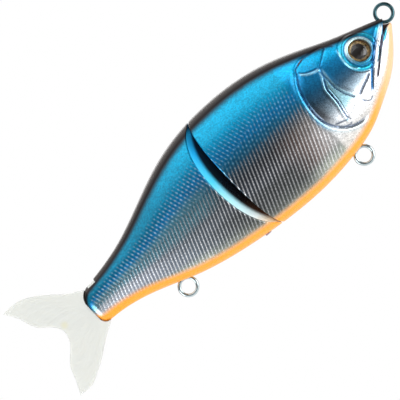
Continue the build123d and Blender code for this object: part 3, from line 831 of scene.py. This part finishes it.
def orbit_marks(n, colour):
    """Adds the rings round the eye, from the outer one in, with a bezel that is paler at its top."""
    eye = n.attribute("eye")
    colour = n.mix(n.step(eye, 8.2, 7.3), colour, (0.02, 0.4, 0.6))
    colour = n.mix(n.step(eye, 6.1, 5.75), colour, (0.004, 0.16, 0.36))
    rise = n.add("ShaderNodeSeparateXYZ", {"Vector": n.place()}).outputs["Z"]
    eye_height = float(eye_frame()[0][2]) * MM
    bezel = n.mix(n.step(rise, eye_height - 4 * MM, eye_height + 3 * MM), (0.03, 0.26, 0.42),
                  (0.56, 0.8, 0.86))
    colour = n.mix(n.step(eye, 5.9, 5.0), colour, bezel)
    return n.mix(n.step(eye, 4.5, 4.3), colour, (0.1, 0.11, 0.08))


def line_marks(n, colour, along, painted_dark_reflection):
    """Adds the engraved lines and the head's grooves, jaw, lip, mouth seam and glints."""
    dots = n.mix(n.step(along, 0.44, 0.4), (0.4, 0.8, 1.0), (0.75, 0.93, 1.0))
    engraved = n.mix(n.attribute("above"), (0.95, 0.96, 0.98), dots)
    # The engraved lines fade where the painted dark reflection lies.
    cut_in = n.maths("SUBTRACT", 1.0, n.times(painted_dark_reflection, 0.5))
    colour = n.mix(n.times(n.attribute("line"), cut_in), colour, engraved)
    colour = n.mix(n.times(n.attribute("groove"), 0.85), colour, (0.003, 0.045, 0.13))
    jaw = n.mix(n.step(along, 0.93, 0.97), (0.004, 0.13, 0.34), (0.02, 0.4, 0.6))
    colour = n.mix(n.attribute("jaw"), colour, jaw)
    colour = n.mix(n.attribute("lip_line"), colour, (0.94, 0.97, 1.0))
    colour = n.mix(n.times(n.attribute("seam"), 0.9), colour, (0.05, 0.03, 0.045))
    # The glints are painted highlights along the edges of the head's plates, cheek lines and brow.
    return n.mix(n.times(n.attribute("glint"), 0.7), colour, (0.45, 0.85, 1.0))


def joint_face_paint(n, share):
    """The faces inside the joint and the mouth: a bright lip, its colours partly painted reflection, and
    painted shade further in.
    """
    # The lip's blue-to-white colours are partly the paint and partly a painted reflection of the chrome.
    lip = n.ramp(share, [(0.04, (0.85, 0.6, 0.35)), (0.16, (0.8, 0.86, 0.86)), (0.36, (0.5, 0.9, 0.98)),
                         (0.56, (0.1, 0.74, 1.0)), (0.8, (0.02, 0.55, 1.0)), (0.93, (0.015, 0.34, 0.6)),
                         (0.97, (0.005, 0.05, 0.1))])
    # Painted shade deep inside the joint and the mouth.
    gap = n.ramp(share, [(0.1, (0.12, 0.045, 0.02)), (0.32, (0.012, 0.009, 0.01)),
                         (0.95, (0.004, 0.02, 0.04))])
    return n.mix(n.step(n.attribute("depth"), 2.3, 3.9), lip, gap)


def painted_foil():
    """Chromed foil under clear coat: black back, blue flank, hatched silver side and an orange belly."""
    n = Nodes("painted_foil")
    share, head, along = n.attribute("share"), n.attribute("head"), n.attribute("along")
    cloud, grain = n.noise(90.0), n.noise(2600.0, 2.0)
    cells = n.add("ShaderNodeTexVoronoi", {"Vector": n.place(), "Scale": 2300.0}).outputs["Color"]
    cell = n.add("ShaderNodeSeparateXYZ", {"Vector": cells}).outputs["X"]
    flake = n.plus(n.times(cell, 0.5), 0.75)
    at = n.plus(share, n.times(n.maths("SUBTRACT", cloud, 0.5), 0.05))
    flank, painted_dark_reflection = flank_paint(n, along, at)
    colour = n.mix(head, flank, cheek_paint(n, at))
    colour = plate_marks(n, colour, share)
    colour = orbit_marks(n, colour)
    colour = n.tint(line_marks(n, colour, along, painted_dark_reflection), flake)
    from_back = n.attribute("from_back")
    black = n.step(n.plus(from_back, n.times(cloud, 0.2)), 1.55, 0.8)
    # The black back, with a painted sheen of greyish brown along its very top edge.
    black_with_painted_sheen = n.mix(n.step(from_back, 0.2, 0.7), (0.07, 0.06, 0.056), (0.006, 0.004, 0.005))
    colour = n.mix(black, colour, black_with_painted_sheen)
    orange = n.step(n.plus(n.attribute("from_belly"), n.times(cloud, 0.6)), 4.8, 2.2)
    peach = n.mix(n.step(along, 0.8, 0.93), (1.0, 0.37, 0.02), (0.92, 0.56, 0.3))
    colour = n.mix(orange, colour, peach)
    face = n.step(n.attribute("depth"), 0.5, 0.75)
    colour = n.mix(face, colour, joint_face_paint(n, share))
    # Painted shade: the cut faces in the head, inside the mouth and round the line tie, are made dark brown.
    colour = n.mix(n.times(face, head), colour, (0.06, 0.025, 0.022))
    paint = n.maths("MAXIMUM", orange, face)
    n.set(Base_Color=colour, Metallic=n.times(n.maths("SUBTRACT", 1.0, paint), 0.9))
    satin = n.times(n.step(share, 0.5, 0.7), 0.14)
    n.set(Roughness=n.plus(satin, n.plus(n.times(grain, 0.1), 0.22)))
    n.set(Coat_Weight=0.2, Coat_Roughness=0.05, IOR=1.45)
    n.bump(grain, 0.25, 0.00005)
    return n.material


def wire_metal(name, colour, roughness):
    """Drawn steel with fine scratches and a slight tarnish."""
    n = Nodes(name)
    streak, cloud = n.noise(3000.0, 2.0), n.noise(300.0)
    n.set(Base_Color=n.mix(cloud, colour, tuple(0.72 * c for c in colour)), Metallic=1.0)
    n.set(Roughness=n.maths("ADD", n.maths("MULTIPLY", streak, 0.12), roughness))
    n.bump(streak, 0.15, 0.00002)
    return n.material


def eye_print():
    """Gold foil ring round a dark pupil, printed on the disc."""
    n = Nodes("eye_print")
    centre, up, along, _ = eye_frame()
    split = n.add("ShaderNodeSeparateXYZ", {"Vector": n.place()})
    fold = n.maths("MULTIPLY", n.maths("ABSOLUTE", split.outputs["Y"]), -1.0)
    flat = n.add("ShaderNodeCombineXYZ", {0: split.outputs["X"], 1: fold, 2: split.outputs["Z"]})
    offset = n.add("ShaderNodeVectorMath", {0: flat.outputs[0], 1: centre * MM}, operation="SUBTRACT")
    parts = []
    for axis in (up, along):
        dot = n.add("ShaderNodeVectorMath", {0: offset.outputs[0], 1: axis}, operation="DOT_PRODUCT")
        parts.append(n.maths("MULTIPLY", dot.outputs["Value"], dot.outputs["Value"]))
    radius = n.maths("SQRT", n.maths("ADD", *parts))
    fleck = n.noise(1800.0)
    gold = n.mix(fleck, (1.0, 0.84, 0.46), (1.0, 0.66, 0.24))
    ring = n.step(radius, (PUPIL_R - 0.12) * MM, (PUPIL_R + 0.06) * MM)
    n.set(Base_Color=n.mix(ring, (0.014, 0.007, 0.004), gold), Metallic=n.maths("MULTIPLY", ring, 0.55))
    n.set(Roughness=0.5)
    n.bump(fleck, 0.2, 0.00003)
    return n.material


def clear_resin():
    """A nearly clear skin with a hard gloss."""
    n = Nodes("clear_resin")
    n.set(Base_Color=(0.02, 0.02, 0.02, 1), Alpha=0.12, Roughness=0.02, IOR=1.6)
    n.set(Coat_Weight=1.0, Coat_Roughness=0.02, Coat_IOR=3.5)
    n.bump(n.noise(60.0), 0.01, 0.00002)
    return n.material


def silicone():
    """Milky, slightly tacky silicone that lets light through."""
    n = Nodes("silicone")
    cloud, grain = n.noise(70.0), n.noise(1500.0, 2.0)
    mark = n.add("ShaderNodeVectorMath", {0: n.place(), 1: (GATE_MARK[0] * MM, 0, GATE_MARK[1] * MM)},
                 operation="DISTANCE").outputs["Value"]
    milk = n.mix(cloud, (0.69, 0.7, 0.655), (0.64, 0.655, 0.63))
    colour = n.mix(n.step(mark, 2.4 * MM, 0.9 * MM), milk, (0.66, 0.64, 0.47))
    n.set(Base_Color=colour, Subsurface_Weight=0.35)
    n.set(Subsurface_Scale=0.003, Subsurface_Radius=(1.0, 0.95, 0.85))
    n.set(Roughness=n.maths("ADD", n.maths("MULTIPLY", grain, 0.12), 0.4), IOR=1.41)
    n.bump(grain, 0.12, 0.00004)
    return n.material


def plain_plug():
    """Dull mauve plastic."""
    n = Nodes("plug_plastic")
    speck = n.noise(900.0)
    n.set(Base_Color=n.mix(speck, (0.34, 0.24, 0.27), (0.22, 0.16, 0.2)), Roughness=0.4, Coat_Weight=0.3)
    n.bump(speck, 0.1, 0.00003)
    return n.material


def give(piece, material):
    """Sets a piece's only material."""
    piece.data.materials.clear()
    piece.data.materials.append(material)


# ---------------------------------------------------------------- the object
def dress_shells():
    """The four foil halves, in place of the plain ones."""
    foil = painted_foil()
    pairs = [(*front_halves(), "front", "front_shell"), (*rear_halves(), "rear", "rear_shell")]
    for right, left, body, node in pairs:
        for piece, side in ((right, "right"), (left, "left")):
            give(piece, foil)
            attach(piece, body)
            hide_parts(f"{node}_{side}")


def dress_tail():
    """One silicone tail, in place of the stiff root and fin."""
    tail = soft_tail()
    give(tail, silicone())
    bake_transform(tail)
    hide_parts("tail_root", "tail_fin")


def dress_cad_nodes():
    """Better materials on the nodes that are carried over as they are."""
    dark_steel = wire_metal("tie_steel", (0.06, 0.13, 0.15), 0.2)
    steel = wire_metal("hanger_steel", (0.6, 0.7, 0.72), 0.16)
    ground = wire_metal("ground_steel", (0.6, 0.6, 0.62), 0.28)
    finishes = {"line_tie_eye": dark_steel, "belly_hook_eye": steel, "rear_hook_eye": steel,
                "upper_joint_eye": steel, "lower_joint_eye": steel, "hinge_pin": ground,
                "hinge_pin_plug": plain_plug()}
    gold, resin = eye_print(), clear_resin()
    for name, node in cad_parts.items():
        if "ballast" in name:
            finishes[name] = ground
        if name.startswith("iris_disc"):
            finishes[name] = gold
        if name.startswith("eye_lens"):
            finishes[name] = resin
        if name in finishes:
            give(node, finishes[name])


# ---------------------------------------------------------------- stage, light and camera
VIEW_CENTRE = (-96.07, -3.03)
VIEW_ROLL = 43.7
VIEW_DISTANCE, LENS, SENSOR = 0.611, 150, 36
FLOOR_DROP, FLOOR_R = 0.18, 0.32
ROOM_GREYS = [(0.0, 0.9), (0.3, 0.85), (0.45, 0.12), (0.56, 0.1), (0.72, 0.3), (1.0, 1.0)]


def camera():
    """Looks squarely at the right side, rolled so that the nose points up and to the right."""
    data = bpy.data.cameras.new("camera")
    data.lens, data.sensor_width, data.clip_start = LENS, SENSOR, 0.01
    piece = bpy.data.objects.new("camera", data)
    bpy.context.scene.collection.objects.link(piece)
    c, s = math.cos(math.radians(VIEW_ROLL)), math.sin(math.radians(VIEW_ROLL))
    x, z = VIEW_CENTRE[0] * MM, VIEW_CENTRE[1] * MM
    piece.matrix_world = Matrix(((c, s, 0, x), (0, 0, -1, -VIEW_DISTANCE), (-s, c, 0, z), (0, 0, 0, 1)))
    bpy.context.scene.camera = piece


def area_light(name, place, size, power, aim, roll=0.0):
    """A rectangular light that faces aim, turned on its own axis by roll degrees."""
    data = bpy.data.lights.new(name, "AREA")
    data.shape, data.size, data.size_y, data.energy = "RECTANGLE", size[0], size[1], power
    piece = bpy.data.objects.new(name, data)
    bpy.context.scene.collection.objects.link(piece)
    piece.location = place
    turn = (Vector(aim) - Vector(place)).to_track_quat("-Z", "Y") @ Quaternion((0, 0, 1), math.radians(roll))
    piece.rotation_euler = turn.to_euler()


def studio_lights():
    """Soft boxes above and beside the lure, with a strip for the glints along the head."""
    middle, head = (-0.085, 0, -0.005), (-0.017, 0, -0.004)
    area_light("overhead", (-0.085, -0.24, 0.5), (0.8, 0.6), 2.1, middle)
    area_light("nose_side", (0.33, -0.42, -0.24), (0.45, 0.45), 1.0, middle)
    area_light("nose_strip", (0.36, -0.21, -0.14), (0.2, 0.5), 1.3, head, -45)
    area_light("tail_side", (-0.6, -0.32, -0.08), (0.4, 0.4), 1.9, middle)
    area_light("far_side", (-0.085, 0.55, 0.3), (0.6, 0.3), 1.3, middle)


def studio_world():
    """A white backdrop, and for the reflections a room that is bright below, dim level and bright on top."""
    world = bpy.data.worlds.new("studio")
    bpy.context.scene.world = world
    world.use_nodes = True
    tree = world.node_tree
    tree.nodes.clear()
    coords = tree.nodes.new("ShaderNodeTexCoord")
    split = tree.nodes.new("ShaderNodeSeparateXYZ")
    ramp = tree.nodes.new("ShaderNodeValToRGB")
    span = tree.nodes.new("ShaderNodeMapRange")
    soft, white = tree.nodes.new("ShaderNodeBackground"), tree.nodes.new("ShaderNodeBackground")
    path, mix = tree.nodes.new("ShaderNodeLightPath"), tree.nodes.new("ShaderNodeMixShader")
    out = tree.nodes.new("ShaderNodeOutputWorld")
    span.inputs["From Min"].default_value = -1
    white.inputs["Color"].default_value = (1, 1, 1, 1)
    fill_ramp(ramp, [(at, (grey, grey, min(1.02 * grey, 1.0))) for at, grey in ROOM_GREYS])
    links = tree.links
    links.new(coords.outputs["Generated"], split.inputs[0])
    links.new(split.outputs["Z"], span.inputs["Value"])
    links.new(span.outputs["Result"], ramp.inputs["Fac"])
    links.new(ramp.outputs["Color"], soft.inputs["Color"])
    links.new(path.outputs["Is Camera Ray"], mix.inputs[0])
    links.new(soft.outputs[0], mix.inputs[1])
    links.new(white.outputs[0], mix.inputs[2])
    links.new(mix.outputs[0], out.inputs["Surface"])
    bpy.context.scene.view_settings.view_transform = "Standard"


def floor():
    """A pale disc well below the lure, which hangs by its line tie."""
    work = bmesh.new()
    bmesh.ops.create_circle(work, cap_ends=True, segments=128, radius=FLOOR_R)
    mesh = bpy.data.meshes.new("floor")
    work.to_mesh(mesh)
    work.free()
    piece = bpy.data.objects.new("floor", mesh)
    bpy.context.scene.collection.objects.link(piece)
    piece.location = (-0.085, 0, cad_low.z - FLOOR_DROP)
    n = Nodes("floor")
    n.set(Base_Color=(0.93, 0.93, 0.93, 1), Roughness=0.8)
    give(piece, n.material)


camera()
studio_lights()
studio_world()
floor()
dress_shells()
dress_tail()
dress_cad_nodes()
